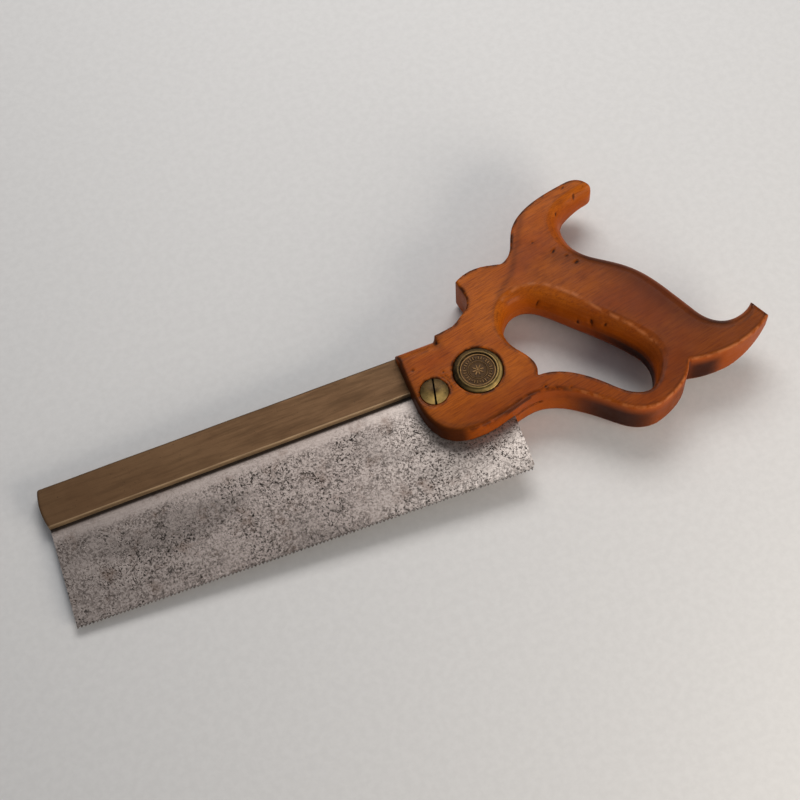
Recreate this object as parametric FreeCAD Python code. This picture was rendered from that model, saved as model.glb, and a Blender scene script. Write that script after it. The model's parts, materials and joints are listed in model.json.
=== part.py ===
"""Back saw: an 8 inch steel plate in a folded brass back, with a closed apple-wood handle.

The saw is drawn in its own plane first: X runs along the back from the toe to the handle,
Y from the teeth to the back, and Z is the distance from the middle of the plate. It is then laid
down on its side, so that it rests on the toe of the back and on the front edge of the handle.
Every node is one solid, and all lengths are in millimetres.
"""
import FreeCAD
import Part
import math
import os

from FreeCAD import Placement, Rotation, Vector

INCH = 25.4

# Plate: 120 teeth at 15 to the inch, and a tooth line that falls away from the back towards the heel.
TEETH_PER_INCH = 15
TOOTH_COUNT = 120
TOOTH_DEPTH = 1.0
GULLET_SHARE = 0.72
TOOTH_LINE_FALL_DEG = 1.656
PLATE_THICKNESS = 0.6
HEEL_CLIP = 2.4
HEEL_CLIP_SHARE = 0.8
HEEL_LEAN = 0.055
TOE_LEAN = 0.033

# Back: a brass strip folded over the plate.
BACK_LOW = 46.9
BACK_HEIGHT = 0.75 * INCH
BACK_THICKNESS = 6.4
BACK_END = 185.3
BACK_TOE_BULGE = 1.4
BACK_EDGE_RADIUS = 1.6
FOLD_DEPTH = 11.0
FOLD_GAP = 0.01

# Handle: one board. KERF_WIDTH and MORTISE_WIDTH leave a little air round the plate and the back.
HANDLE_THICKNESS = 20.6
KERF_WIDTH = 0.8
MORTISE_WIDTH = 6.6
MORTISE_GAP = 0.1

# Fasteners: a medallion bolt with its slotted nut, and a slotted saw screw with its nut.
MEDALLION = (197.9, 42.8)
SCREW = (176.5, 40.5)
HEAD_RADIUS = 0.25 * INCH
SHANK_RADIUS = 3 / 32 * INCH
RUNNING_GAP = 0.05
NECK_SIDE = 6.4
NECK_GAP = 0.1
NECK_END = 1.5
MEDALLION_RADIUS = 0.435 * INCH
MEDALLION_SEAT = 2.4
MEDALLION_LIP_RADIUS = 8.9
MEDALLION_LIP_WIDTH = 0.6
MEDALLION_LIP_FALL = 0.15
MEDALLION_RISE = 0.9
MEDALLION_EDGE = 0.15
DISC_RADIUS = 7.95
DISC_FLOOR = 0.7
DISC_THICKNESS = 1.2
DISC_RIM_WIDTH = 0.7
DISC_RELIEF = 0.25
NUT_SEAT = 3.2
NUT_EDGE = 0.05
NUT_DOME = 0.35
SHANK_RECESS = 1.6
SCREW_SEAT = 2.0
SCREW_EDGE = 0.1
SCREW_DOME = 1.2
SCREW_TIP = -6.0
BARREL_RADIUS = 3.0
BARREL_TOP = 5.5
SAW_NUT_SEAT = 2.4
SAW_NUT_SHORT = 0.5
SAW_NUT_DOME = 0.4
SLOT_WIDTH = 1.0
SLOT_DEPTH = 1.2
SLOT_ANGLE_DEG = 76.0

HALF_BOARD = HANDLE_THICKNESS / 2
HALF_BACK = BACK_THICKNESS / 2
HALF_PLATE = PLATE_THICKNESS / 2
BACK_HIGH = BACK_LOW + BACK_HEIGHT
FOLD_TOP = BACK_LOW + FOLD_DEPTH
FAR = 100.0  # past everything that a cut goes through

# The handle's outline is a loop of runs between corners. A corner has its place at the middle of the
# board and its place on the cheek, which is further in by the rounding of the edge there.
CORNERS = {
    "front_foot": ((167.3, 50.0), (168.4, 50.0)),
    "front_top": ((167.3, 66.0), (168.4, 60.0)),
    "step_foot": ((185.6, 66.0), (185.4, 60.0)),
    "step_top": ((186.8, 66.5), (186.9, 65.7)),
    "beak": ((205.7, 88.2), (206.4, 87.5)),
    "upper_notch": ((228.2, 88.9), (228.3, 88.1)),
    "horn_end_top": ((323.2, 29.0), (321.9, 26.2)),
    "horn_end_low": ((326.8, 19.2), (325.6, 19.4)),
    "lower_notch": ((284.8, 12.2), (285.1, 13.2)),
    "cusp": ((221.0, 30.9), (220.3, 30.4)),
}

# Points (x, y, inset) along each run between its corners. The inset is the rounding: how far in from
# this outline the flat of the cheek starts.
COVE = [(191.0, 67.0, 0.8), (196.2, 68.2, 0.8), (201.0, 71.0, 0.8), (204.8, 73.8, 0.8),
        (206.8, 79.0, 0.8), (206.3, 84.0, 0.8)]
HUMP = [(210.5, 90.3, 0.8), (218.0, 91.1, 0.8), (224.0, 90.0, 0.8)]
HORN_AND_GRIP = [(234.0, 93.0, 0.8), (239.2, 103.2, 0.8), (245.9, 109.8, 0.8), (256.4, 114.4, 0.8),
                 (269.0, 117.2, 0.8), (277.2, 117.5, 1.2), (281.2, 115.2, 2.0), (283.0, 112.0, 3.0),
                 (281.6, 109.6, 4.2), (277.5, 108.2, 5.2), (270.8, 106.2, 5.8), (265.8, 103.6, 6.4),
                 (262.5, 99.4, 6.8), (261.7, 94.2, 7.0), (262.5, 88.3, 7.0), (266.0, 82.2, 7.0),
                 (272.3, 76.7, 7.0), (280.3, 70.3, 7.0), (286.6, 63.4, 7.0), (291.5, 55.3, 7.0),
                 (295.7, 46.3, 7.0), (299.3, 38.4, 7.0), (303.3, 30.9, 6.8), (308.4, 26.9, 6.4),
                 (315.0, 26.0, 5.5)]
UNDER_HORN = [(317.2, 13.8, 1.0), (308.2, 11.2, 1.0), (298.7, 10.3, 1.0), (290.6, 10.9, 1.0)]
BELLY = [(279.8, 5.0, 1.0), (270.4, -0.6, 1.0), (262.0, -2.5, 1.0), (252.8, 0.4, 1.0), (244.5, 7.6, 1.0),
         (236.8, 14.4, 1.0), (228.4, 20.1, 1.0), (218.0, 22.9, 1.0), (208.0, 21.1, 1.2), (200.0, 18.8, 1.7),
         (188.0, 16.9, 1.7), (179.8, 18.2, 1.6), (173.9, 21.6, 1.6), (169.8, 28.0, 1.4), (167.7, 38.0, 1.2)]
HAND_HOLE = [(222.7, 36.0, 1.0), (220.3, 43.0, 1.3), (216.8, 49.0, 1.8), (215.8, 55.0, 3.0),
             (218.4, 61.9, 5.0), (224.5, 66.9, 7.0), (231.2, 67.3, 7.5), (238.2, 62.6, 7.8),
             (247.9, 52.2, 8.0), (258.8, 40.1, 8.0), (265.9, 30.6, 8.2), (269.0, 24.6, 8.6),
             (269.9, 19.0, 7.5), (269.0, 12.9, 4.2), (264.4, 6.4, 1.2), (256.2, 7.9, 1.0),
             (248.4, 15.2, 1.0), (241.3, 22.3, 1.0), (233.2, 28.0, 1.0), (226.2, 30.6, 1.0)]
OUTLINE = [("front_top", [], "step_foot"), ("step_foot", [], "step_top"), ("step_top", COVE, "beak"),
           ("beak", HUMP, "upper_notch"), ("upper_notch", HORN_AND_GRIP, "horn_end_top"),
           ("horn_end_top", [], "horn_end_low"), ("horn_end_low", UNDER_HORN, "lower_notch"),
           ("lower_notch", BELLY, "front_foot"), ("front_foot", [], "front_top")]
HOLE_OUTLINE = [("cusp", HAND_HOLE, "cusp")]

# Heights of the board's sections, as shares of half its thickness, and how tall a rounding is for
# its inset.
SECTIONS = (0.25, 0.5, 0.7, 0.85, 0.95, 1.0)
ROUND_HEIGHT_PER_INSET = 1.5

# The tip of the lower horn is thinned from the far side: (x, z) of an arc that cuts it.
TIP_ARC = [(298.0, -HALF_BOARD), (315.0, -6.6), (328.0, 2.6)]
TIP_TOP = 45.0

# The saw kerf: its inner side leans back from the bottom edge of the handle to the mortise. The kerf and
# the mortise are open at the front of the handle, so both cuts start ahead of it.
CUT_START = 160.0
KERF = [(CUT_START, -10.0), (224.0, -10.0), (220.5, 22.0), (209.5, 59.0), (CUT_START, 59.0)]


def point(xy, z=0.0):
    return Vector(xy[0], xy[1], z)


def line(a, b):
    return Part.LineSegment(point(a), point(b)).toShape()


def extruded(edges, low, high):
    """A solid of a flat closed outline, from height low to height high."""
    face = Part.Face(Part.Wire(edges))
    face.translate(Vector(0, 0, low))
    return face.extrude(Vector(0, 0, high - low))


def straight_sided(corners, low, high):
    return extruded([line(a, b) for a, b in zip(corners, corners[1:] + corners[:1])], low, high)


def rod(centre, radius, low, high):
    return Part.makeCylinder(radius, high - low, point(centre, low))


def square_bar(centre, side, low, high):
    corner = Vector(centre[0] - side / 2, centre[1] - side / 2, low)
    return Part.makeBox(side, side, high - low, corner)


def turned(centre, profile):
    """A turned solid from its (radius, height) profile, about an upright axis at centre."""
    points = [Vector(centre[0] + r, centre[1], z) for r, z in profile]
    face = Part.Face(Part.makePolygon(points + points[:1]))
    return face.revolve(point(centre), Vector(0, 0, 1), 360)


def domed_head(centre, radius, base, edge, rise, side):
    """A head with a shallow dome, on the side +1 or -1: base and edge are its heights from the plate."""
    barrel = rod(centre, radius, 0, edge + rise - base)
    ball_radius = (radius ** 2 + rise ** 2) / (2 * rise)
    ball = Part.makeSphere(ball_radius, point(centre, edge + rise - base - ball_radius))
    head = barrel.common(ball)
    if side < 0:
        head.rotate(point(centre), Vector(1, 0, 0), 180)
    head.translate(Vector(0, 0, side * base))
    return head


def slot_cutter(centre, low, high):
    """A bar across a head, in the direction of its screwdriver slot."""
    bar = Part.makeBox(4 * HEAD_RADIUS, SLOT_WIDTH, high - low)
    bar.translate(Vector(-2 * HEAD_RADIUS, -SLOT_WIDTH / 2, low))
    bar.rotate(Vector(0, 0, 0), Vector(0, 0, 1), SLOT_ANGLE_DEG)
    bar.translate(point(centre))
    return bar


def tooth_point(distance, depth=0.0):
    """A point at a distance along the tooth line from the toe, and at a depth into the plate."""
    fall = math.radians(TOOTH_LINE_FALL_DEG)
    x = distance * math.cos(fall) + depth * math.sin(fall)
    y = depth * math.cos(fall) - distance * math.sin(fall)
    return (x, y)


def make_blade():
    """The plate, with its teeth, its clipped heel, and holes for the two fasteners."""
    pitch = INCH / TEETH_PER_INCH
    teeth = []
    for i in range(TOOTH_COUNT):
        teeth.append(tooth_point(i * pitch))
        teeth.append(tooth_point((i + GULLET_SHARE) * pitch, TOOTH_DEPTH))
    last = tooth_point(TOOTH_COUNT * pitch)
    heel_low = (last[0] + HEEL_CLIP * HEEL_CLIP_SHARE, last[1] + HEEL_CLIP)
    heel_high = (heel_low[0] + HEEL_LEAN * (FOLD_TOP - heel_low[1]), FOLD_TOP)
    toe_high = (TOE_LEAN * FOLD_TOP, FOLD_TOP)
    blade = straight_sided(teeth + [last, heel_low, heel_high, toe_high], -HALF_PLATE, HALF_PLATE)
    blade = blade.cut(rod(MEDALLION, SHANK_RADIUS + NECK_GAP, -FAR, FAR))
    return blade.cut(rod(SCREW, BARREL_RADIUS + NECK_GAP, -FAR, FAR))


def make_back():
    """The brass back: a bar with rounded upper edges, a bowed toe end, and the fold for the plate."""
    toe = [Vector(BACK_TOE_BULGE, BACK_LOW, 0), Vector(0, BACK_LOW + BACK_HEIGHT / 2, 0),
           Vector(BACK_TOE_BULGE, BACK_HIGH, 0)]
    edges = [Part.Arc(*toe).toShape(), line((BACK_TOE_BULGE, BACK_HIGH), (BACK_END, BACK_HIGH)),
             line((BACK_END, BACK_HIGH), (BACK_END, BACK_LOW)),
             line((BACK_END, BACK_LOW), (BACK_TOE_BULGE, BACK_LOW))]
    bar = extruded(edges, -HALF_BACK, HALF_BACK)
    upper = [e for e in bar.Edges if e.BoundBox.YMin > BACK_HIGH - FOLD_GAP and e.Length > BACK_END / 2]
    bar = bar.makeFillet(BACK_EDGE_RADIUS, upper)
    half_fold = HALF_PLATE + FOLD_GAP
    below = 1.0
    fold = Part.makeBox(2 * FAR + BACK_END, FOLD_DEPTH + below + FOLD_GAP, 2 * half_fold,
                        Vector(-FAR, BACK_LOW - below, -half_fold))
    return bar.cut(fold)


def rounding(inset, height):
    """The share of the inset that applies at a height, on an edge rounded as a quarter ellipse."""
    tall = min(HALF_BOARD, ROUND_HEIGHT_PER_INSET * inset)
    t = max(0.0, (abs(height) - (HALF_BOARD - tall)) / tall)
    return 1 - math.sqrt(max(0.0, 1 - t * t))


def run_edge(start, points, end, height, side):
    """One run of the outline at a height. side is +1 where the wood is on the right of the run."""
    (x0, y0), face_start = CORNERS[start]
    (x1, y1), face_end = CORNERS[end]
    middle = [Vector(x0, y0, 0)] + [Vector(x, y, 0) for x, y, _ in points] + [Vector(x1, y1, 0)]
    steps = [a.distanceToPoint(b) for a, b in zip(middle, middle[1:])]
    places = [sum(steps[:i]) for i in range(len(middle))]
    if points:
        curve = Part.BSplineCurve()
        curve.interpolate(Points=middle, Parameters=places)
    shifted = []
    for i, (p, place) in enumerate(zip(middle, places)):
        if i == 0:
            move = point(face_start) - p
            inset = move.Length
        elif i == len(middle) - 1:
            move = point(face_end) - p
            inset = move.Length
        else:
            along = curve.tangent(place)[0]
            inset = points[i - 1][2]
            move = Vector(along.y, -along.x, 0) * (side * inset)
        shifted.append(p + move * rounding(inset, height) + Vector(0, 0, height))
    if not points:
        return Part.LineSegment(*shifted).toShape()
    curve.interpolate(Points=shifted, Parameters=places)
    return curve.toShape()


def board(outline, side):
    """A solid through the sections of an outline, which is rounded towards both cheeks."""
    shares = [-s for s in reversed(SECTIONS)] + list(SECTIONS)
    wires = []
    for share in shares:
        height = share * HALF_BOARD
        wires.append(Part.Wire([run_edge(a, run, b, height, side) for a, run, b in outline]))
    return Part.makeLoft(wires, True, True)


def tip_cutter():
    """What is taken off the far side of the lower horn's tip: the space below an arc."""
    arc = [Vector(x, -FAR, z) for x, z in TIP_ARC]
    below = [Vector(TIP_ARC[-1][0], -FAR, -FAR), Vector(TIP_ARC[0][0], -FAR, -FAR)]
    edges = [Part.Arc(*arc).toShape(), Part.LineSegment(arc[-1], below[0]).toShape(),
             Part.LineSegment(*below).toShape(), Part.LineSegment(below[1], arc[0]).toShape()]
    return Part.Face(Part.Wire(edges)).extrude(Vector(0, FAR + TIP_TOP, 0))


def make_handle():
    """The board with its rounded edges, hand hole, kerf, mortise and fastener seats."""
    handle = board(OUTLINE, 1)
    handle = handle.cut([board(HOLE_OUTLINE, -1), tip_cutter()])
    handle = handle.cut(straight_sided(KERF, -KERF_WIDTH / 2, KERF_WIDTH / 2))
    mortise = Part.makeBox(BACK_END + MORTISE_GAP - CUT_START, FAR, MORTISE_WIDTH,
                           Vector(CUT_START, BACK_LOW - MORTISE_GAP, -MORTISE_WIDTH / 2))
    handle = handle.cut(mortise)
    cuts = [rod(MEDALLION, MEDALLION_RADIUS + NECK_GAP, HALF_BOARD - MEDALLION_SEAT, FAR),
            square_bar(MEDALLION, NECK_SIDE + 2 * NECK_GAP, NECK_END - NECK_GAP, FAR),
            rod(MEDALLION, SHANK_RADIUS + NECK_GAP, -FAR, FAR),
            rod(MEDALLION, HEAD_RADIUS + RUNNING_GAP, -FAR, NUT_SEAT - HALF_BOARD),
            rod(SCREW, HEAD_RADIUS + RUNNING_GAP, HALF_BOARD - SCREW_SEAT, FAR),
            rod(SCREW, BARREL_RADIUS + NECK_GAP, -FAR, FAR),
            square_bar(SCREW, NECK_SIDE + 2 * NECK_GAP, -FAR, NECK_GAP - NECK_END),
            rod(SCREW, HEAD_RADIUS + NECK_GAP, -FAR, SAW_NUT_SEAT - HALF_BOARD)]
    for cut in cuts:
        handle = handle.cut(cut)
    return handle


def make_medallion_bolt():
    """A cupped head with a raised lip, a square neck in the near cheek, and a shank to the far side."""
    seat = HALF_BOARD - MEDALLION_SEAT
    top = HALF_BOARD + MEDALLION_RISE
    cup = DISC_RADIUS + RUNNING_GAP
    profile = [(0, seat), (MEDALLION_RADIUS, seat), (MEDALLION_RADIUS, HALF_BOARD + MEDALLION_EDGE),
               (MEDALLION_LIP_RADIUS + MEDALLION_LIP_WIDTH, top - MEDALLION_LIP_FALL),
               (MEDALLION_LIP_RADIUS, top), (cup, top - MEDALLION_LIP_FALL),
               (cup, HALF_BOARD - DISC_FLOOR), (0, HALF_BOARD - DISC_FLOOR)]
    head = turned(MEDALLION, profile)
    neck = square_bar(MEDALLION, NECK_SIDE, NECK_END, seat)
    shank = rod(MEDALLION, SHANK_RADIUS, SHANK_RECESS - HALF_BOARD, seat)
    return head.fuse([neck, shank]).removeSplitter()


def make_medallion_disc():
    """The stamped disc in the bolt's head: a rim, a sunk field and a raised middle."""
    low = HALF_BOARD - DISC_FLOOR
    high = low + DISC_THICKNESS
    field = high - DISC_RELIEF
    profile = [(0, low), (DISC_RADIUS, low), (DISC_RADIUS, high), (DISC_RADIUS - DISC_RIM_WIDTH, high),
               (DISC_RADIUS - DISC_RIM_WIDTH, field), (DISC_RADIUS / 2, field), (DISC_RADIUS / 2, high),
               (0, high)]
    return turned(MEDALLION, profile)


def make_medallion_nut():
    """The slotted round nut that draws the medallion bolt tight, let into the far cheek."""
    base = HALF_BOARD - NUT_SEAT + RUNNING_GAP
    nut = domed_head(MEDALLION, HEAD_RADIUS, base, HALF_BOARD - NUT_EDGE, NUT_DOME, -1)
    nut = nut.cut(rod(MEDALLION, SHANK_RADIUS + RUNNING_GAP, -FAR, FAR))
    return nut.cut(slot_cutter(MEDALLION, -FAR, SLOT_DEPTH - HALF_BOARD))


def make_saw_screw():
    """The screw with a slotted dome, whose shank goes down into the saw nut."""
    base = HALF_BOARD - SCREW_SEAT + RUNNING_GAP
    head = domed_head(SCREW, HEAD_RADIUS, base, HALF_BOARD + SCREW_EDGE, SCREW_DOME, 1)
    head = head.cut(slot_cutter(SCREW, HALF_BOARD + SCREW_DOME - SLOT_DEPTH, FAR))
    shank = rod(SCREW, SHANK_RADIUS - NECK_GAP, SCREW_TIP, base)
    return head.fuse(shank).removeSplitter()


def make_saw_nut():
    """The nut of the saw screw: a head and square neck in the far cheek, and a barrel past the plate."""
    seat = HALF_BOARD - SAW_NUT_SEAT
    head = domed_head(SCREW, HEAD_RADIUS, seat, HALF_BOARD - SAW_NUT_SHORT, SAW_NUT_DOME, -1)
    neck = square_bar(SCREW, NECK_SIDE, -seat, -NECK_END)
    barrel = rod(SCREW, BARREL_RADIUS, -seat, BARREL_TOP)
    nut = head.fuse([neck, barrel]).removeSplitter()
    return nut.cut(rod(SCREW, SHANK_RADIUS - NECK_GAP + RUNNING_GAP, SCREW_TIP - NECK_GAP, FAR))


def laid_down(parts):
    """The placement that lays the saw on its side, with the middle of its box's base at the origin."""
    front_edge = CORNERS["front_top"][1][0]
    tilt = math.atan2(HALF_BOARD - HALF_BACK, front_edge)
    turn = Placement(Vector(), Rotation(Vector(0, 1, 0), -math.degrees(tilt)))
    tilted = Part.makeCompound([shape.transformed(turn.toMatrix()) for shape in parts.values()])
    box = tilted.optimalBoundingBox()
    middle = Vector(-(box.XMin + box.XMax) / 2, -(box.YMin + box.YMax) / 2, -box.ZMin)
    return Placement(middle, Rotation()) * turn


NODES = {
    "handle": make_handle(),
    "blade": make_blade(),
    "back": make_back(),
    "medallion_bolt": make_medallion_bolt(),
    "medallion_disc": make_medallion_disc(),
    "medallion_nut": make_medallion_nut(),
    "saw_screw": make_saw_screw(),
    "saw_nut": make_saw_nut(),
}
PLACING = laid_down(NODES)

os.makedirs("parts", exist_ok=True)
for name, shape in NODES.items():
    placed = shape.transformed(PLACING.toMatrix())
    placed.exportStep("parts/" + name + ".step")
    box = placed.BoundBox
    print(name, "solids", len(placed.Solids), "valid", placed.isValid(), "cm3", round(placed.Volume / 1000, 2),
          "box", [round(v, 1) for v in (box.XMin, box.YMin, box.ZMin, box.XMax, box.YMax, box.ZMax)])
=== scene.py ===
"""The looks of the back saw: worn apple wood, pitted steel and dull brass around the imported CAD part.

Every piece is drawn in the saw's own frame, as in the CAD: X runs along the back from the toe to the
handle, Y from the teeth to the back, Z away from the middle of the plate, in millimetres. SAW_TO_ROW
then lays it down where the CAD part lies.
"""
import json
import math

import bmesh
import bpy
import numpy as np
from mathutils import Euler, Matrix, Vector, noise


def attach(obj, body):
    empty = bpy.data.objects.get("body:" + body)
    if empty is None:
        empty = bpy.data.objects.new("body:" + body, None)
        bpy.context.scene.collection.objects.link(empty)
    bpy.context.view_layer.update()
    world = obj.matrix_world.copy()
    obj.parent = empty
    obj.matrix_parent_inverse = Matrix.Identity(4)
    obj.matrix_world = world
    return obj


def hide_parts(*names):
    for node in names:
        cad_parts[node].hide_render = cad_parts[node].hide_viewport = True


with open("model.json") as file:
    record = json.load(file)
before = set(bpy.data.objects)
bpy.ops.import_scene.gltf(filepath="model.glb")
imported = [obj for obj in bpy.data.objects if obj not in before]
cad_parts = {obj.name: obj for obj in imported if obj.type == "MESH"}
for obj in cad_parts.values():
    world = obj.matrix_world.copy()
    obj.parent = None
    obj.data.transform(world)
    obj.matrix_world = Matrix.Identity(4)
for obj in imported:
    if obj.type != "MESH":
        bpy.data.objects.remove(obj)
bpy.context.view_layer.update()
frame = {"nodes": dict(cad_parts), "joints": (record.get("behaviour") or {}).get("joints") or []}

MM = 0.001
INCH = 25.4

# Plate
TEETH_PER_INCH = 15
TOOTH_COUNT = 120
TOOTH_DEPTH = 1.0
GULLET_SHARE = 0.72
TOOTH_LINE_FALL = math.radians(1.656)
TOOTH_SET = 0.11
TOOTH_WEAR = 0.03
TIP_THINNING = 0.92
PLATE_WAVE = 0.035
PLATE_ROWS = 14
HOLE_GAP = 0.1
HALF_PLATE = 0.3
HEEL_CLIP = 2.4
HEEL_CLIP_SHARE = 0.8
HEEL_LEAN = 0.055
TOE_LEAN = 0.033

# Back
BACK_LOW = 46.9
BACK_HIGH = BACK_LOW + 0.75 * INCH
BACK_MIDDLE = (BACK_LOW + BACK_HIGH) / 2
HALF_BACK = 3.2
BACK_END = 185.3
BACK_TOE_BULGE = 1.4
FOLD_TOP = BACK_LOW + 11.0
LIP_RADIUS = 0.45
TOP_RADIUS = 1.7

# The first sections at the toe end, and how much the first three are drawn in.
TOE_STATIONS = [0.0, 0.12, 0.45, 0.9, 1.6, 2.6]
TOE_INSETS = [0.5, 0.22, 0.05]

# Handle and fasteners
HALF_BOARD = 10.3
MEDALLION = (197.9, 42.8)
SCREW = (176.5, 40.5)
MEDALLION_RADIUS = 0.435 * INCH
HEAD_RADIUS = 0.25 * INCH
SHANK_RADIUS = 3 / 32 * INCH
BARREL_RADIUS = 3.0
DISC_RADIUS = 7.95
NECK_SIDE = 6.4
HEAD_SEAT = 2.4
CUP_FLOOR = HALF_BOARD - 0.7
LIP_PLACE = 8.9
VISIBLE_GAP = 0.14
SLOT_WIDTH = 0.8
SLOT_DEPTH = 1.2
SLOT_ANGLE = math.radians(76.0)


def saw_to_row():
    """The placement of the saw's own frame, from the axis of the saw screw."""
    joint = {j["name"]: j for j in frame["joints"]}["saw_screw_turn"]
    up = Vector(joint["axis"])
    along = Vector((up.z, 0, -up.x))
    across = up.cross(along)
    origin = Vector(joint["pos_m"]) - (along * SCREW[0] + across * SCREW[1] + up * HALF_BOARD) * MM
    turn = Matrix((along, across, up)).transposed()
    return Matrix.Translation(origin) @ turn.to_4x4()


SAW_TO_ROW = saw_to_row()


# ---------------------------------------------------------------- mesh tools

def placed(name, mesh, body, nodes, material):
    """A finished mesh, in metres in the saw's frame, as a piece that rides on a body."""
    piece = bpy.data.objects.new(name, mesh)
    bpy.context.scene.collection.objects.link(piece)
    piece.matrix_world = SAW_TO_ROW
    mesh.materials.clear()
    mesh.materials.append(material)
    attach(piece, body)
    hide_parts(*nodes)


def mesh_from(name, points, faces, shine=None):
    """A smooth mesh from points in millimetres, normals outwards, with a "shine" value for each point."""
    mesh = bpy.data.meshes.new(name)
    mesh.from_pydata([tuple(float(v) * MM for v in p) for p in points], [], faces)
    if shine is not None:
        values = mesh.attributes.new("shine", "FLOAT", "POINT")
        values.data.foreach_set("value", np.asarray(shine, np.float32))
    work = bmesh.new()
    work.from_mesh(mesh)
    bmesh.ops.recalc_face_normals(work, faces=work.faces)
    work.to_mesh(mesh)
    work.free()
    mesh.shade_smooth()
    return mesh


def sharpened(mesh, degrees):
    """Edges that turn by more than this angle stay crisp."""
    mesh.set_sharp_from_angle(angle=math.radians(degrees))
    return mesh


def softened(corners, radii, steps=5):
    """A line of corners, each of them replaced by a small curve that starts its radius away."""
    points = [np.array(corners[0], float)]
    for before, corner, after, radius in zip(corners, corners[1:], corners[2:], radii):
        before, corner, after = (np.array(p, float) for p in (before, corner, after))
        back, ahead = before - corner, after - corner
        start = corner + back / np.linalg.norm(back) * radius
        end = corner + ahead / np.linalg.norm(ahead) * radius
        for i in range(steps + 1):
            t = i / steps
            points.append((1 - t) ** 2 * start + 2 * t * (1 - t) * corner + t * t * end)
    points.append(np.array(corners[-1], float))
    return points


def on_circle(centre, radius, angle):
    return centre[0] + radius * math.cos(angle), centre[1] + radius * math.sin(angle)


def turned(name, centre, profile, segments=128, shine=None):
    """A lathe-turned solid from its (radius, height) profile, which starts and ends on the axis."""
    points, values, faces = [], [], []
    for i, (radius, height) in enumerate(profile[1:-1]):
        for k in range(segments):
            angle = 2 * math.pi * k / segments
            points.append((*on_circle(centre, radius, angle), height))
            values.append(0.0 if shine is None else shine(radius, height, angle))
    rings = len(profile) - 2
    for i in range(rings - 1):
        for k in range(segments):
            a, b = i * segments + k, i * segments + (k + 1) % segments
            faces.append((a, b, b + segments, a + segments))
    for ring, (_, height) in ((0, profile[0]), (rings - 1, profile[-1])):
        middle = len(points)
        points.append((centre[0], centre[1], height))
        values.append(0.0 if shine is None else shine(0.0, height, 0.0))
        for k in range(segments):
            faces.append((middle, ring * segments + k, ring * segments + (k + 1) % segments))
    return mesh_from(name, points, faces, values)


def box_mesh(name, low, high, turn=0.0, centre=(0, 0)):
    """A plain block, used only to cut or join with other meshes."""
    corners = [(x, y, z) for z in (low[2], high[2]) for y in (low[1], high[1]) for x in (low[0], high[0])]
    c, s = math.cos(turn), math.sin(turn)
    points = [(centre[0] + x * c - y * s, centre[1] + x * s + y * c, z) for x, y, z in corners]
    faces = [(0, 1, 3, 2), (4, 5, 7, 6), (0, 1, 5, 4), (2, 3, 7, 6), (0, 2, 6, 4), (1, 3, 7, 5)]
    return mesh_from(name, points, faces)


def rod_mesh(name, centre, radius, low, high):
    """A plain rod, used only to cut holes."""
    return turned(name, centre, [(0, high), (radius, high), (radius, low), (0, low)], 48)


def combined(mesh, other, operation):
    """The mesh after a boolean operation with another one."""
    base = bpy.data.objects.new("base", mesh)
    tool = bpy.data.objects.new("tool", other)
    for o in (base, tool):
        bpy.context.scene.collection.objects.link(o)
    step = base.modifiers.new("step", "BOOLEAN")
    step.operation, step.object, step.solver = operation, tool, "EXACT"
    graph = bpy.context.evaluated_depsgraph_get()
    result = bpy.data.meshes.new_from_object(base.evaluated_get(graph))
    for o in (base, tool):
        bpy.data.objects.remove(o)
    return result


def arrays_of(mesh):
    """The points in millimetres, the normals and the edges of a mesh, as arrays."""
    count = len(mesh.vertices)
    points, normals = np.zeros(count * 3, np.float32), np.zeros(count * 3, np.float32)
    edges = np.zeros(len(mesh.edges) * 2, np.int32)
    mesh.vertices.foreach_get("co", points)
    mesh.vertex_normals.foreach_get("vector", normals)
    mesh.edges.foreach_get("vertices", edges)
    points = points.reshape(-1, 3).astype(float) / MM
    return points, normals.reshape(-1, 3).astype(float), edges.reshape(-1, 2)


def neighbour_mean(values, edges):
    """The mean of each point's neighbours."""
    a, b = edges[:, 0], edges[:, 1]
    count = len(values)
    degree = np.bincount(a, minlength=count) + np.bincount(b, minlength=count)
    columns = values.reshape(count, -1)
    total = [np.bincount(a, columns[b, c], count) + np.bincount(b, columns[a, c], count)
             for c in range(columns.shape[1])]
    return (np.stack(total, axis=1) / np.maximum(degree, 1)[:, None]).reshape(values.shape)


def set_points(mesh, points):
    mesh.vertices.foreach_set("co", (points * MM).astype(np.float32).ravel())
    mesh.update()


def set_values(mesh, name, values):
    """One value for each point, which a material reads by its name."""
    layer = mesh.attributes.new(name, "FLOAT", "POINT")
    layer.data.foreach_set("value", values.astype(np.float32))


def smooth_step(value, low, high):
    """0 below low, 1 above high, and a smooth change between."""
    t = np.clip((value - low) / (high - low), 0, 1)
    return t * t * (3 - 2 * t)


def waves(points, lengths, seed):
    """A gentle unevenness, from -1 to 1, of a few crossed waves of the given lengths in millimetres."""
    rng = np.random.default_rng(seed)
    total = np.zeros(len(points))
    for length in lengths:
        for _ in range(3):
            way = rng.normal(size=3)
            way /= np.linalg.norm(way)
            total += np.sin(points @ way * (2 * math.pi / length) + rng.uniform(0, 2 * math.pi))
    return total / (3 * len(lengths))


# ---------------------------------------------------------------- materials

def rgb(red, green, blue):
    """A colour given as it looks on a screen, 0 to 255, as the linear values of the shader."""
    def linear(v):
        v = v / 255
        return v / 12.92 if v <= 0.04045 else ((v + 0.055) / 1.055) ** 2.4
    return (linear(red), linear(green), linear(blue), 1.0)


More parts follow.
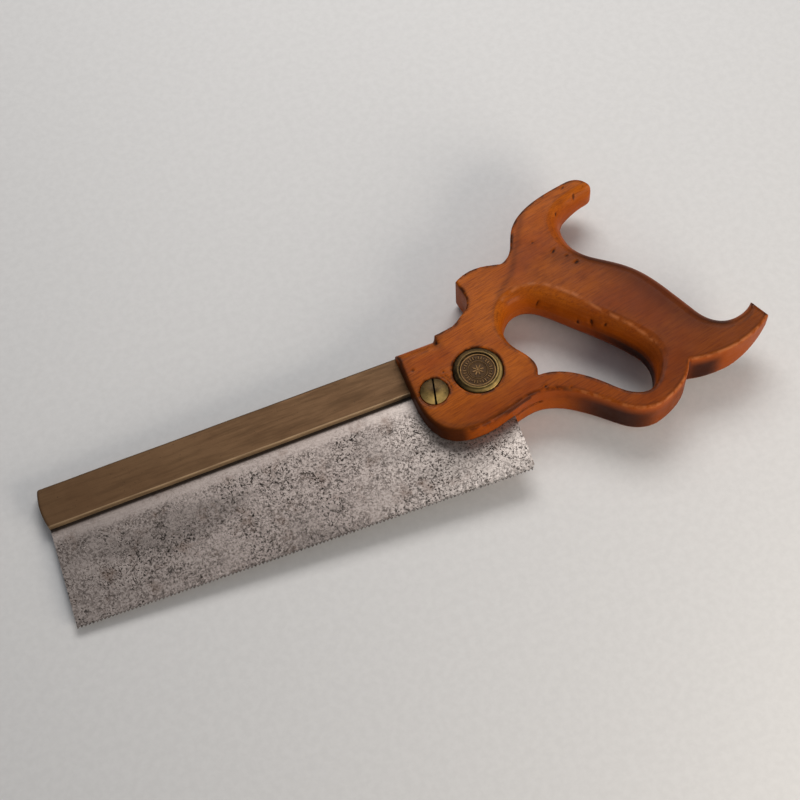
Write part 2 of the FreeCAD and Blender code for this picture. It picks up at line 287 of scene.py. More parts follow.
class Shader:
    """A node material. Textures are in the saw's frame, with scales as features per millimetre."""

    def __init__(self, name):
        self.material = bpy.data.materials.new(name)
        self.material.use_nodes = True
        self.tree = self.material.node_tree
        self.surface = self.tree.nodes["Principled BSDF"]
        self.place = self.add("ShaderNodeTexCoord").outputs["Object"]

    def add(self, kind, **settings):
        node = self.tree.nodes.new(kind)
        for key, value in settings.items():
            setattr(node, key, value)
        return node

    def feed(self, socket, value):
        if isinstance(value, bpy.types.NodeSocket):
            self.tree.links.new(value, socket)
        else:
            socket.default_value = value

    def set(self, **values):
        for key, value in values.items():
            self.feed(self.surface.inputs[key.replace("_", " ")], value)

    def stretched(self, scale, turn=0.0):
        """Coordinates with a scale for each axis, after a turn about Z in degrees."""
        turned_place = self.add("ShaderNodeMapping")
        self.feed(turned_place.inputs["Vector"], self.place)
        turned_place.inputs["Rotation"].default_value = (0, 0, math.radians(turn))
        scaled = self.add("ShaderNodeMapping")
        self.feed(scaled.inputs["Vector"], turned_place.outputs[0])
        scaled.inputs["Scale"].default_value = [s / MM for s in scale]
        return scaled.outputs[0]

    def noise(self, scale, detail=3.0, roughness=0.55, distortion=0.0, turn=0.0, shift=0.0):
        scale = scale if isinstance(scale, tuple) else (scale, scale, scale)
        node = self.add("ShaderNodeTexNoise", noise_dimensions="4D")
        self.feed(node.inputs["Vector"], self.stretched(scale, turn))
        node.inputs["W"].default_value = shift
        node.inputs["Scale"].default_value = 1.0
        node.inputs["Detail"].default_value = detail
        node.inputs["Roughness"].default_value = roughness
        node.inputs["Distortion"].default_value = distortion
        return node.outputs["Fac"]

    def cells(self, scale):
        """The distance from the nearest of many scattered points."""
        node = self.add("ShaderNodeTexVoronoi")
        self.feed(node.inputs["Vector"], self.stretched((scale, scale, scale)))
        node.inputs["Scale"].default_value = 1.0
        return node.outputs["Distance"]

    def value(self, name):
        """A value that the mesh carries at each of its points."""
        return self.add("ShaderNodeAttribute", attribute_name=name).outputs["Fac"]

    def axis(self, letter):
        """The place along one axis, in millimetres."""
        node = self.add("ShaderNodeSeparateXYZ")
        self.feed(node.inputs[0], self.place)
        return self.math("MULTIPLY", node.outputs[letter], 1 / MM)

    def math(self, operation, a, b=0.0, c=0.0):
        node = self.add("ShaderNodeMath", operation=operation)
        for socket, value in zip(node.inputs, (a, b, c)):
            self.feed(socket, value)
        return node.outputs[0]

    def band(self, value, low, high, start=0.0, end=1.0):
        """start below low, end above high, and a smooth change between."""
        node = self.add("ShaderNodeMapRange", interpolation_type="SMOOTHSTEP")
        sockets = ("Value", "From Min", "From Max", "To Min", "To Max")
        for socket, setting in zip(sockets, (value, low, high, start, end)):
            self.feed(node.inputs[socket], setting)
        return node.outputs[0]

    def mix(self, share, a, b):
        """The colour a where the share is 0, and b where it is 1."""
        node = self.add("ShaderNodeMix", data_type="RGBA")
        self.feed(node.inputs[0], share)
        self.feed(node.inputs[6], a)
        self.feed(node.inputs[7], b)
        return node.outputs[2]

    def bump(self, height, distance, strength=1.0, normal=None):
        """A bump of a height map, whose full range is a distance in millimetres."""
        node = self.add("ShaderNodeBump")
        self.feed(node.inputs["Height"], height)
        node.inputs["Distance"].default_value = distance * MM
        node.inputs["Strength"].default_value = strength
        if normal is not None:
            self.feed(node.inputs["Normal"], normal)
        return node.outputs[0]


# The grain rises this many degrees from the toe towards the horns.
GRAIN_TURN = -12.0


def wood_material():
    """Old apple wood under worn satin varnish, its colour with painted shade and painted highlights."""
    s = Shader("apple_wood")
    tone = s.noise((0.02, 0.04, 0.05), 3, turn=GRAIN_TURN)
    rings = s.noise((0.008, 0.24, 0.3), 3, 0.55, 0.5, GRAIN_TURN, 3.0)
    fibres = s.noise((0.14, 2.4, 2.4), 4, 0.7, 0.2, GRAIN_TURN, 7.0)
    flecks = s.noise((0.6, 4.5, 4.5), 3, 0.7, 0.0, GRAIN_TURN, 11.0)
    colour = s.mix(s.band(tone, 0.36, 0.64), rgb(160, 73, 11), rgb(188, 97, 17))
    colour = s.mix(s.band(rings, 0.44, 0.62, 0.0, 0.22), colour, rgb(126, 56, 18))
    colour = s.mix(s.band(fibres, 0.42, 0.66, 0.0, 0.6), colour, rgb(104, 42, 10))
    colour = s.mix(s.band(flecks, 0.58, 0.72, 0.0, 0.55), colour, rgb(62, 24, 8))
    x, y = s.axis("X"), s.axis("Y")
    # Painted shade: the wood is darker towards the rear of the handle below the upper horn, and towards the
    # teeth.
    grip = s.math("MULTIPLY", s.band(x, 205.0, 300.0, 0.0, 0.62), s.band(y, 74.0, 96.0, 1.0, 0.0))
    low = s.band(y, 5.0, 50.0, 0.4, 0.0)
    colour = s.mix(s.math("MAXIMUM", grip, low), colour, rgb(82, 32, 8))
    colour = s.mix(s.math("MULTIPLY", s.value("side"), 0.5), colour, rgb(168, 76, 8))
    stain = s.noise(0.07, 4, 0.65, shift=19.0)
    colour = s.mix(s.band(stain, 0.5, 0.7, 0.0, 0.32), colour, rgb(92, 40, 14))
    # Painted shade on the walls of the hand hole and under the arm.
    colour = s.mix(s.math("MULTIPLY", s.value("hole_shade"), 0.92), colour, rgb(34, 8, 2))
    # Painted shade in the concave hollows.
    colour = s.mix(s.math("MULTIPLY", s.value("hollow_shade"), 0.7), colour, rgb(48, 18, 7))
    # Dark edges and lines, partly soiling and partly painted shade.
    patchy = s.band(s.noise(0.22, 4, 0.65, shift=23.0), 0.38, 0.58)
    dirt_and_shade = s.math("MULTIPLY", s.value("edge"), patchy)
    dirt_and_shade = s.math("MAXIMUM", s.math("MULTIPLY", dirt_and_shade, 0.85), s.math("MULTIPLY", s.value("shade_and_dirt_lines"), 0.8))
    colour = s.mix(dirt_and_shade, colour, rgb(34, 15, 7))
    # Painted highlight on edges that face the teeth and along the front of the grip.
    painted_highlight = s.math("MULTIPLY", s.value("painted_highlight"), patchy)
    colour = s.mix(s.math("MULTIPLY", painted_highlight, 0.5), colour, rgb(200, 122, 72))
    speckled = s.band(s.noise(1.4, 3, 0.7, shift=27.0), 0.35, 0.6, 0.35, 0.95)
    colour = s.mix(s.math("MULTIPLY", s.value("dent"), speckled), colour, rgb(26, 13, 8))
    rough = s.band(s.noise(0.12, 3, 0.6, shift=31.0), 0.35, 0.7, 0.4, 0.54)
    rough = s.math("ADD", rough, s.math("MULTIPLY", fibres, 0.08))
    grain = s.bump(fibres, 0.04)
    pores = s.bump(flecks, 0.03, 0.8, grain)
    waviness = s.bump(s.noise(0.09, 2, 0.5, shift=41.0), 0.5, 0.5, pores)
    s.set(Base_Color=colour, Roughness=rough, Normal=waviness, Coat_Weight=0.05, Coat_Roughness=0.16,
          Specular_IOR_Level=0.07)
    return s.material


def steel_material():
    """Old polished plate, with dark pitting, brown stains and a cleaner strip along the back; painted shadow
    under the back's lip, painted shade along the teeth and a painted reflection that lightens it towards the
    heel.
    """
    s = Shader("saw_steel")
    x, y = s.axis("X"), s.axis("Y")
    lines = s.noise((0.05, 2.5, 1.0), 3, 0.6, shift=2.0)
    broad = s.noise(0.035, 4, 0.65, 0.5, shift=5.0)
    # Painted reflection: the plate is lighter towards the heel, with fewer grains there.
    heel_sheen = s.band(x, 120, 215)
    strip = s.band(y, 38.0, 42.0, 1.0, 0.25)
    colour = s.mix(heel_sheen, rgb(178, 166, 160), rgb(224, 214, 207))
    colour = s.mix(s.band(lines, 0.35, 0.7, 0.0, 0.22), colour, rgb(124, 113, 107))
    grainy = s.band(s.noise(0.85, 3, 0.75, 0.3, shift=29.0), 0.43, 0.58)
    grainy = s.math("MULTIPLY", grainy, s.band(s.noise(0.1, 4, 0.65, shift=37.0), 0.4, 0.6, 0.45, 1.0))
    grains = s.math("MULTIPLY", s.math("MULTIPLY", grainy, strip), s.band(heel_sheen, 0.0, 1.0, 0.75, 0.45))
    colour = s.mix(grains, colour, rgb(78, 67, 61))
    dense = s.band(broad, 0.38, 0.6, 0.35, 1.0)
    pits_fine = s.band(s.noise(0.95, 3, 0.75, 0.4, shift=8.0), 0.53, 0.61)
    pits_large = s.band(s.noise(0.42, 4, 0.78, 0.5, shift=13.0), 0.55, 0.64)
    some_dots = s.band(s.noise(0.35, shift=43.0), 0.44, 0.56)
    dots = s.math("MULTIPLY", s.band(s.cells(0.8), 0.2, 0.34, 1.0, 0.0), some_dots)
    pits = s.math("MAXIMUM", s.math("MAXIMUM", pits_fine, pits_large), dots)
    pits = s.math("MULTIPLY", s.math("MULTIPLY", pits, dense), strip)
    stained = s.band(s.noise((0.012, 0.04, 0.04), 2, 0.5, shift=53.0), 0.46, 0.6, 0.0, 0.34)
    colour = s.mix(s.math("MULTIPLY", stained, strip), colour, rgb(72, 66, 62))
    colour = s.mix(pits, colour, rgb(34, 29, 26))
    rust = s.band(s.noise(0.09, 4, 0.65, shift=17.0), 0.52, 0.72, 0.0, 0.5)
    colour = s.mix(rust, colour, rgb(92, 66, 48))
    # Painted shadow: a dark band on the plate just under the back's lip.
    lip_shadow = s.band(y, BACK_LOW - 2.2, BACK_LOW - 0.9, 0.0, 0.85)
    colour = s.mix(lip_shadow, colour, rgb(24, 17, 12))
    # Painted shade: darker along the tooth line.
    above_teeth = s.math("MULTIPLY_ADD", x, math.tan(TOOTH_LINE_FALL), y)
    colour = s.mix(s.band(above_teeth, 0.3, 1.5, 0.5, 0.0), colour, rgb(58, 52, 48))
    rough = s.band(pits, 0.0, 1.0, 0.42, 0.8)
    ground = s.bump(lines, 0.006)
    pitted = s.bump(s.math("SUBTRACT", 1.0, pits), 0.05, 0.9, s.bump(grainy, 0.015, 0.8, ground))
    s.set(Base_Color=colour, Metallic=0.7, Roughness=rough, Normal=pitted)
    return s.material


def back_material():
    """Dull brown-bronze brass, with a painted highlight along its lower edges."""
    s = Shader("brass_back")
    cloud = s.noise(0.03, 4, 0.6, 0.4, shift=1.0)
    smear = s.noise((0.05, 0.5, 0.5), 4, 0.65, shift=4.0)
    scratch = s.noise((0.08, 5.0, 5.0), 2, 0.6, turn=3.0, shift=6.0)
    colour = s.mix(s.band(cloud, 0.35, 0.65), rgb(102, 74, 48), rgb(110, 82, 55))
    colour = s.mix(s.band(smear, 0.45, 0.7, 0.0, 0.22), colour, rgb(76, 55, 36))
    colour = s.mix(s.band(scratch, 0.62, 0.72, 0.0, 0.4), colour, rgb(128, 100, 64))
    spots = s.band(s.noise(0.8, 3, 0.7, shift=9.0), 0.62, 0.72, 0.0, 0.6)
    colour = s.mix(spots, colour, rgb(46, 33, 22))
    # Painted highlight along the lower edges.
    colour = s.mix(s.value("shine"), colour, rgb(190, 160, 124))
    rough = s.band(smear, 0.3, 0.7, 0.46, 0.62)
    hairs = s.bump(scratch, 0.01, 0.7)
    marks = s.bump(s.noise(0.35, 4, 0.7, shift=14.0), 0.05, 0.5, hairs)
    s.set(Base_Color=colour, Metallic=0.7, Roughness=rough, Normal=marks)
    return s.material


def fastener_material():
    """Brass heads: slot floors painted dark, partly soiling and partly painted shade, and painted highlights
    on raised edges.
    """
    s = Shader("brass_fastener")
    cloud = s.noise(0.3, 4, 0.65, 0.5, shift=2.0)
    scratch = s.noise((0.5, 6.0, 6.0), 2, 0.6, turn=30.0, shift=5.0)
    colour = s.mix(s.band(cloud, 0.35, 0.65), rgb(38, 28, 16), rgb(72, 55, 31))
    colour = s.mix(s.band(scratch, 0.6, 0.72, 0.0, 0.5), colour, rgb(158, 132, 82))
    spots = s.band(s.noise(1.6, 3, 0.7, shift=9.0), 0.58, 0.7, 0.0, 0.8)
    colour = s.mix(spots, colour, rgb(34, 25, 15))
    # Painted highlight on raised edges, brightest on one side.
    colour = s.mix(s.value("shine"), colour, rgb(255, 212, 128))
    # Slot floors painted dark, partly soiling and partly painted shade.
    colour = s.mix(s.value("dirt_and_shade"), colour, rgb(16, 11, 7))
    rough = s.band(cloud, 0.3, 0.7, 0.26, 0.46)
    rough = s.math("MAXIMUM", rough, s.math("MULTIPLY", s.value("dirt_and_shade"), 0.9))
    marks = s.bump(s.noise(1.2, 4, 0.7, shift=14.0), 0.04, 0.6, s.bump(scratch, 0.02, 0.6))
    s.set(Base_Color=colour, Metallic=0.9, Roughness=rough, Normal=marks)
    return s.material


def disc_material():
    """The stamped disc: brass with dark patina in its hollows."""
    s = Shader("medallion_brass")
    cloud = s.noise(0.4, 4, 0.65, shift=3.0)
    colour = s.mix(s.band(cloud, 0.35, 0.65), rgb(46, 32, 19), rgb(68, 49, 30))
    colour = s.mix(s.math("MULTIPLY", s.value("shine"), 0.8), colour, rgb(132, 100, 62))
    rough = s.band(cloud, 0.3, 0.7, 0.34, 0.5)
    marks = s.bump(s.noise(2.2, 3, 0.7, shift=8.0), 0.03, 0.7)
    s.set(Base_Color=colour, Metallic=0.85, Roughness=rough, Normal=marks)
    return s.material


# ---------------------------------------------------------------- handle

VOXEL = 0.42
FAIR_STEPS = 8
FAIR_IN = 0.5
FAIR_OUT = 0.52
BOARD_WAVE = 0.08
BOARD_WAVE_LENGTHS = (38.0, 23.0, 14.0)

# How much is worn off the far side of the upper horn's tip, and the x, y and depth over which that grows.
HORN_TIP_THINNING = 5.5
HORN_TIP_X = (258.0, 283.0)
HORN_TIP_Y = (98.0, 104.0)
HORN_TIP_DEPTH = (-4.0, HALF_BOARD)

# Dents and nicks of the handle: x, y, length, width, the way they run in degrees, and depth.
DENTS = [
    (252.5, 85.5, 1.5, 0.7, 35, 0.4), (257.2, 81.0, 1.1, 0.5, 5, 0.3), (260.0, 76.3, 1.6, 0.7, 15, 0.45),
    (262.0, 104.0, 1.2, 0.5, 60, 0.35), (270.0, 115.0, 1.3, 0.5, 30, 0.3), (273.2, 109.6, 1.3, 0.6, 70, 0.4),
    (254.4, 47.6, 0.8, 1.5, 10, 0.4), (259.2, 43.4, 0.9, 0.7, 0, 0.3), (249.5, 51.0, 0.7, 1.2, 20, 0.25),
    (197.0, 68.6, 1.6, 0.9, 20, 0.5), (186.2, 62.3, 1.4, 1.0, 80, 0.45), (222.0, 24.2, 1.0, 0.6, 30, 0.35),
    (232.0, 19.6, 0.7, 0.5, 0, 0.25), (245.5, 93.2, 0.7, 0.5, 40, 0.2), (236.3, 66.0, 1.0, 0.5, 20, 0.25),
    (171.5, 53.5, 0.8, 0.6, 0, 0.25), (299.8, 43.4, 1.2, 0.7, 60, 0.35), (183.6, 47.8, 0.6, 0.5, 0, 0.2)]

# Scuffs round the saw screw: radius, half width, the angles they run between in degrees, and depth.
SCUFFS = [(7.7, 0.55, -30, 58, 0.34), (9.0, 0.4, 5, 50, 0.2), (7.0, 0.6, 165, 262, 0.5)]

# Painted shade on the walls of the hand hole and under the arm: x, y and radius.
HOLE_SHADE = [(264.0, 22.0, 24.0), (246.0, 2.0, 19.0), (292.0, 10.0, 8.0)]

# Dark lines along edges and walls, partly soiling and partly painted shade: a line of x, y, its reach, and
# the height from which it shows. In turn, the front edge, the rear of the grip, the front of the upper horn,
# the lower edge of the cheek and the step.
SHADE_AND_DIRT_LINES = [
    ([(167.6, 58.0), (167.6, 38.0), (169.8, 28.0), (174.0, 21.8), (180.0, 18.2)], 3.6, -12.0),
    ([(252.5, 82.5), (265.0, 76.5), (278.0, 63.5), (286.0, 47.8), (291.0, 35.6), (299.5, 25.6),
      (307.0, 24.0)], 4.6, -6.0),
    ([(221.0, 74.0), (231.0, 83.0), (239.0, 96.0), (248.0, 111.0)], 1.6, -6.0),
    ([(170.1, 28.7), (178.7, 21.2), (188.8, 19.3), (204.4, 20.0), (214.0, 22.6)], 0.9, 8.0),
    ([(186.5, 60.5), (187.5, 64.5)], 2.2, -6.0)]

# A painted highlight along the front of the grip: a line of x, y and its reach.
PAINTED_HIGHLIGHT_LINES = [([(221.5, 71.5), (229.6, 74.7), (237.5, 73.6), (245.0, 69.2), (251.5, 62.5), (258.7, 51.2),
            (269.8, 36.7), (275.2, 25.8)], 0.8)]

# What closes the saw kerf before the board is remeshed, just inside its outline, and what opens it again.
KERF_FILL_HALF = 0.75
KERF_FILL = [(168.2, 59.0), (168.2, 38.0), (170.3, 28.4), (174.3, 22.4), (180.0, 19.1), (188.0, 17.8),
             (200.0, 19.7), (208.0, 22.0), (216.0, 23.5), (209.0, 59.0)]
KERF = [(160.0, -10.0), (224.0, -10.0), (220.5, 22.0), (209.5, 59.0), (160.0, 59.0)]
KERF_HALF = 0.4


def slab_mesh(name, corners, half):
    """A flat slab about the middle plane, with a straight-sided outline."""
    count = len(corners)
    points = [(x, y, z) for z in (-half, half) for x, y in corners]
    faces = [tuple(range(count)), tuple(range(count, 2 * count))]
    faces += [(i, (i + 1) % count, (i + 1) % count + count, i + count) for i in range(count)]
    return mesh_from(name, points, faces)


def near_line(points, line, reach):
    """1 on a line of x, y points, fading to 0 past its reach."""
    away = np.full(len(points), np.inf)
    for start, end in zip(np.array(line[:-1]), np.array(line[1:])):
        run = end - start
        share = np.clip((points[:, :2] - start) @ run / (run @ run), 0, 1)
        away = np.minimum(away, np.hypot(*(points[:, :2] - start - share[:, None] * run).T))
    return np.exp(-(away / reach) ** 2)


def closed_board():
    """The CAD board in the saw's frame, with its kerf filled, remeshed in even steps."""
    mesh = frame["nodes"]["handle"].data.copy()
    mesh.transform(SAW_TO_ROW.inverted())
    work = bmesh.new()
    work.from_mesh(mesh)
    bmesh.ops.remove_doubles(work, verts=work.verts, dist=0.001 * MM)
    work.from_mesh(slab_mesh("fill", KERF_FILL, KERF_FILL_HALF))
    work.to_mesh(mesh)
    work.free()
    rough = bpy.data.objects.new("rough_board", mesh)
    bpy.context.scene.collection.objects.link(rough)
    step = rough.modifiers.new("step", "REMESH")
    step.mode, step.voxel_size, step.use_smooth_shade = "VOXEL", VOXEL * MM, True
    graph = bpy.context.evaluated_depsgraph_get()
    board = bpy.data.meshes.new_from_object(rough.evaluated_get(graph))
    bpy.data.objects.remove(rough)
    return board


def wear_edges(board):
    """Rounds the board's edges without making it smaller."""
    points, _, edges = arrays_of(board)
    for _ in range(FAIR_STEPS):
        points += FAIR_IN * (neighbour_mean(points, edges) - points)
        points -= FAIR_OUT * (neighbour_mean(points, edges) - points)
    set_points(board, points)


def thin_horn_tip(points):
    tip = smooth_step(points[:, 0], *HORN_TIP_X) * smooth_step(points[:, 1], *HORN_TIP_Y)
    points[:, 2] += HORN_TIP_THINNING * tip * smooth_step(-points[:, 2], *HORN_TIP_DEPTH)


def press_marks(points, normals):
    """Presses the dents and scuffs into the near side, and gives how far each point is in a mark, 0 to 1."""
    near = normals[:, 2] > 0.1
    marked = np.zeros(len(points))
    for x, y, length, width, turn, depth in DENTS:
        c, t = math.cos(math.radians(turn)), math.sin(math.radians(turn))
        dx, dy = points[:, 0] - x, points[:, 1] - y
        away = np.hypot((dx * c + dy * t) / length, (dy * c - dx * t) / width)
        away *= 1 + 0.35 * waves(points, (1.7, 1.1), int(x))
        hit = np.exp(-away ** 2) * near
        points -= normals * (depth * hit)[:, None]
        marked = np.maximum(marked, smooth_step(hit, 0.4, 0.95))
    dx, dy = points[:, 0] - SCREW[0], points[:, 1] - SCREW[1]
    radius, angle = np.hypot(dx, dy), np.degrees(np.arctan2(dy, dx))
    fade = 15
    for place, half, low, high, depth in SCUFFS:
        past_low = (angle - low) % 360
        along = smooth_step(past_low, 0, fade) * smooth_step(-past_low, low - high, low - high + fade)
        hit = np.exp(-((radius - place) / half) ** 2) * along * near
        hit *= 0.7 + 0.3 * waves(points, (1.9, 1.2), int(place * 10))
        points -= normals * (depth * hit)[:, None]
        marked = np.maximum(marked, 0.85 * smooth_step(hit, 0.3, 0.9))
    return marked


def set_wear_and_painted_light(board, points, normals, edges):
    """The values that the wood's colours follow: painted shade in hollows, sides, edges painted dark with
    shade and soiling on one side and with a highlight on the other, lines of painted shade and soiling,
    painted highlight lines, and painted shade in the hand hole.
    """
    bend = np.einsum("ij,ij->i", neighbour_mean(points, edges) - points, normals)
    for _ in range(5):
        bend = 0.5 * bend + 0.5 * neighbour_mean(bend, edges)
    slope = 1 - np.abs(normals[:, 2])
    for _ in range(3):
        slope = neighbour_mean(slope, edges)
    # Painted shade in concave hollows, from how much the surface bends inwards.
    set_values(board, "hollow_shade", np.clip(bend / 0.03, 0, 1))
    set_values(board, "side", smooth_step(slope, 0.04, 0.6))

    # Convex edges: painted shade with some soiling on those that face the back and on the whole front of the
    # handle, and a painted highlight on those that face the teeth.
    edge = np.clip(-bend / 0.02, 0, 1)
    front_of_handle = smooth_step(-points[:, 0], -238.0, -226.0)
    dark = np.maximum(smooth_step(normals[:, 1], -0.35, 0.05), front_of_handle)
    set_values(board, "edge", edge * dark)
    # Painted highlights: along the front of the grip, and on edges that face the teeth.
    painted_highlight = sum(near_line(points, line, reach) for line, reach in PAINTED_HIGHLIGHT_LINES) * (points[:, 2] > 0)
    set_values(board, "painted_highlight", np.maximum(edge ** 2 * (1 - dark), np.clip(painted_highlight, 0, 1)))

    # Lines of painted shade and soiling along edges and walls.
    shade_and_dirt_lines = sum(near_line(points, line, reach) * smooth_step(points[:, 2], lowest - 2, lowest)
                for line, reach, lowest in SHADE_AND_DIRT_LINES)
    set_values(board, "shade_and_dirt_lines", np.clip(shade_and_dirt_lines, 0, 1) * smooth_step(slope, -0.1, 0.12))
    # Painted shade on the walls of the hand hole and under the arm.
    hole_shade = np.zeros(len(points))
    for x, y, reach in HOLE_SHADE:
        away = np.hypot(points[:, 0] - x, points[:, 1] - y) / reach
        hole_shade = np.maximum(hole_shade, np.exp(-away ** 4))
    below_face = smooth_step(-points[:, 2], -9.5, -2.0)
    set_values(board, "hole_shade", hole_shade * smooth_step(slope, 0.45, 0.9) * below_face)


def make_handle(material):
    """The board: the CAD shape with worn edges, marks, a thinner tip to the upper horn, and its kerf."""
    board = closed_board()
    wear_edges(board)
    points, normals, edges = arrays_of(board)
    points += normals * (BOARD_WAVE * waves(points, BOARD_WAVE_LENGTHS, 5))[:, None]
    thin_horn_tip(points)
    marked = press_marks(points, normals)
    set_points(board, points)
    set_wear_and_painted_light(board, points, normals, edges)
    set_values(board, "dent", marked)
    board = combined(board, slab_mesh("kerf", KERF, KERF_HALF), "DIFFERENCE")
    board.shade_smooth()
    placed("handle_board", board, "saw", ["handle"], material)


# ---------------------------------------------------------------- plate and back

def tooth_point(distance, depth=0.0):
    """A point along the tooth line from the toe, at a depth into the plate."""
    c, s = math.cos(TOOTH_LINE_FALL), math.sin(TOOTH_LINE_FALL)
    return np.array((distance * c + depth * s, depth * c - distance * s))


def plate_outline():
    """The plate's lower outline from toe to heel, and each tooth's tip by the point it comes before."""
    pitch = INCH / TEETH_PER_INCH
    rng = np.random.default_rng(12)
    low_points, tips = [], {}
    for i in range(TOOTH_COUNT):
        uneven, blunt = rng.normal(0, TOOTH_WEAR), rng.normal(TOOTH_WEAR, TOOTH_WEAR)
        tips[len(low_points)] = tooth_point(i * pitch + uneven, blunt)
        low_points.append(tooth_point(i * pitch, TOOTH_DEPTH))
        low_points.append(tooth_point((i + GULLET_SHARE) * pitch, TOOTH_DEPTH))
    last = tooth_point(TOOTH_COUNT * pitch)
    tips[len(low_points)] = last
    low_points.append(tooth_point(TOOTH_COUNT * pitch, TOOTH_DEPTH))
    low_points.append(last + np.array((HEEL_CLIP * HEEL_CLIP_SHARE, HEEL_CLIP)))
    return low_points, tips


def make_blade(material):
    """The plate, with its teeth bent left and right by turns."""
    low_points, tips = plate_outline()
    heel = low_points[-1]
    toe_high = TOE_LEAN * FOLD_TOP
    heel_high = heel[0] + HEEL_LEAN * (FOLD_TOP - heel[1])
    rows, columns = PLATE_ROWS, len(low_points)
    points, faces = [], []
    for side in (1, -1):
        first = len(points)
        for row in range(rows + 1):
            share = row / rows
            for low_point in low_points:
                across = low_point[0] / heel[0]
                top = np.array((toe_high + across * (heel_high - toe_high), FOLD_TOP))
                x, y = low_point * (1 - share) + top * share
                wave = PLATE_WAVE * noise.noise(Vector((x / 45, y / 30, 0.5)))
                points.append((x, y, side * HALF_PLATE + wave))
        for row in range(rows):
            for c in range(columns - 1):
                a = first + row * columns + c
                faces.append((a, a + 1, a + 1 + columns, a + columns))
        for number, (c, tip) in enumerate(tips.items()):
            bend = TOOTH_SET * (1 if number % 2 else -1)
            points.append((tip[0], tip[1], side * HALF_PLATE * TIP_THINNING + bend))
            if c > 0:
                faces.append((len(points) - 1, first + c - 1, first + c))
            faces.append((len(points) - 1, first + c, first + c + 1))
    half = len(points) // 2

    def join(a, b):
        """A face between the plate's two sides."""
        faces.append((a, b, b + half, a + half))

    tip_start = (rows + 1) * columns
    for number, c in enumerate(tips):
        if c > 0:
            join(c - 1, tip_start + number)
        join(tip_start + number, c + 1)
    join(tip_start, 0)
    for row in range(rows):
        join(row * columns, (row + 1) * columns)
        join((row + 1) * columns - 1, (row + 2) * columns - 1)
    for c in range(columns - 1):
        join(rows * columns + c, rows * columns + c + 1)
    mesh = mesh_from("saw_plate", points, faces)
    for place, radius in ((MEDALLION, SHANK_RADIUS), (SCREW, BARREL_RADIUS)):
        mesh = combined(mesh, rod_mesh("hole", place, radius + HOLE_GAP, -2, 2), "DIFFERENCE")
    placed("saw_plate", sharpened(mesh, 30), "saw", ["blade"], material)


def back_profile(gap):
    """The strip's section as y, z, from one lip round the top to the other, about its fold."""
    lower = softened([(FOLD_TOP, gap), (BACK_LOW, gap), (BACK_LOW, HALF_BACK), (BACK_MIDDLE, HALF_BACK)],
                     (0.2, LIP_RADIUS), 6)
    upper = softened([(BACK_MIDDLE, HALF_BACK), (BACK_HIGH, HALF_BACK), (BACK_HIGH, 0.0)], (TOP_RADIUS,), 8)
    flat_low = [(y, HALF_BACK) for y in np.linspace(BACK_LOW + LIP_RADIUS + 0.3, BACK_MIDDLE, 6)]
    flat_high = [(y, HALF_BACK) for y in np.linspace(BACK_MIDDLE, BACK_HIGH - TOP_RADIUS - 0.3, 6)]
    near = lower[:-1] + flat_low + flat_high[1:] + upper[1:]
    return [(y, -z) for y, z in near] + [(y, z) for y, z in reversed(near[:-1])]


def make_back(material):
    """The folded brass strip: rounded top, thin lips along the plate, and a bowed toe end."""
    gap = HALF_PLATE + 0.01
    profile = back_profile(gap)
    half_height = (BACK_HIGH - BACK_LOW) / 2
    stations = TOE_STATIONS + list(np.linspace(5.0, BACK_END - 1.0, 140)) + [BACK_END]
    points, shine = [], []
    for i, x in enumerate(stations):
        inset = TOE_INSETS[i] if i < len(TOE_INSETS) else 0.0
        for y, z in profile:
            hidden = abs(z) < gap + 0.01
            up = (y - BACK_MIDDLE) * (1 - inset / half_height)
            out = z if hidden else math.copysign(max(gap + 0.02, abs(z) - inset), z)
            bow = BACK_TOE_BULGE * (up / half_height) ** 2 * max(0.0, 1 - x / 40)
            if not hidden:
                uneven = 0.05 * noise.noise(Vector((x / 17, y / 9, 3.1)))
                uneven += 0.03 * noise.noise(Vector((x / 5, y / 4, 7.7)))
                out += math.copysign(uneven, z)
                up += 0.08 * noise.noise(Vector((x / 24, 0.3, 9.1)))
            points.append((x + bow, BACK_MIDDLE + up, out))
            # Painted highlight: a bright line along the lower edge of each side.
            lip_glint = float(smooth_step(np.array(BACK_LOW + 0.8 - y), 0.0, 0.5)) * (not hidden)
            shine.append(lip_glint * (0.8 + 0.4 * noise.noise(Vector((x / 9, z, 1.7)))))
    count = len(profile)
    faces = []
    for i in range(len(stations) - 1):
        for k in range(count - 1):
            a = i * count + k
            faces.append((a, a + 1, a + 1 + count, a + count))
        faces.append((i * count, i * count + count - 1, (i + 1) * count + count - 1, (i + 1) * count))
    faces.append(tuple(range(count)))
    faces.append(tuple((len(stations) - 1) * count + k for k in range(count)))
    mesh = sharpened(mesh_from("brass_strip", points, faces, shine), 40)
    placed("brass_strip", mesh, "saw", ["back"], material)


# ---------------------------------------------------------------- fasteners

def slotted(mesh, centre, low, high, floor):
    """The head with its screwdriver slot, its floor painted dark, partly old soiling and partly painted
    shade.
    """
    half = HEAD_RADIUS * 1.5
    start, end = (-half, -SLOT_WIDTH / 2, low), (half, SLOT_WIDTH / 2, high)
    cutter = box_mesh("slot", start, end, SLOT_ANGLE, centre)
    mesh = combined(mesh, cutter, "DIFFERENCE")
    points, _, _ = arrays_of(mesh)
    dx, dy = points[:, 0] - centre[0], points[:, 1] - centre[1]
    across = np.abs(dy * math.cos(SLOT_ANGLE) - dx * math.sin(SLOT_ANGLE))
    in_slot = (across < SLOT_WIDTH / 2 + 0.01) & (np.abs(points[:, 2] - floor) < SLOT_DEPTH * 0.6)
    set_values(mesh, "dirt_and_shade", in_slot.astype(float))
    return mesh


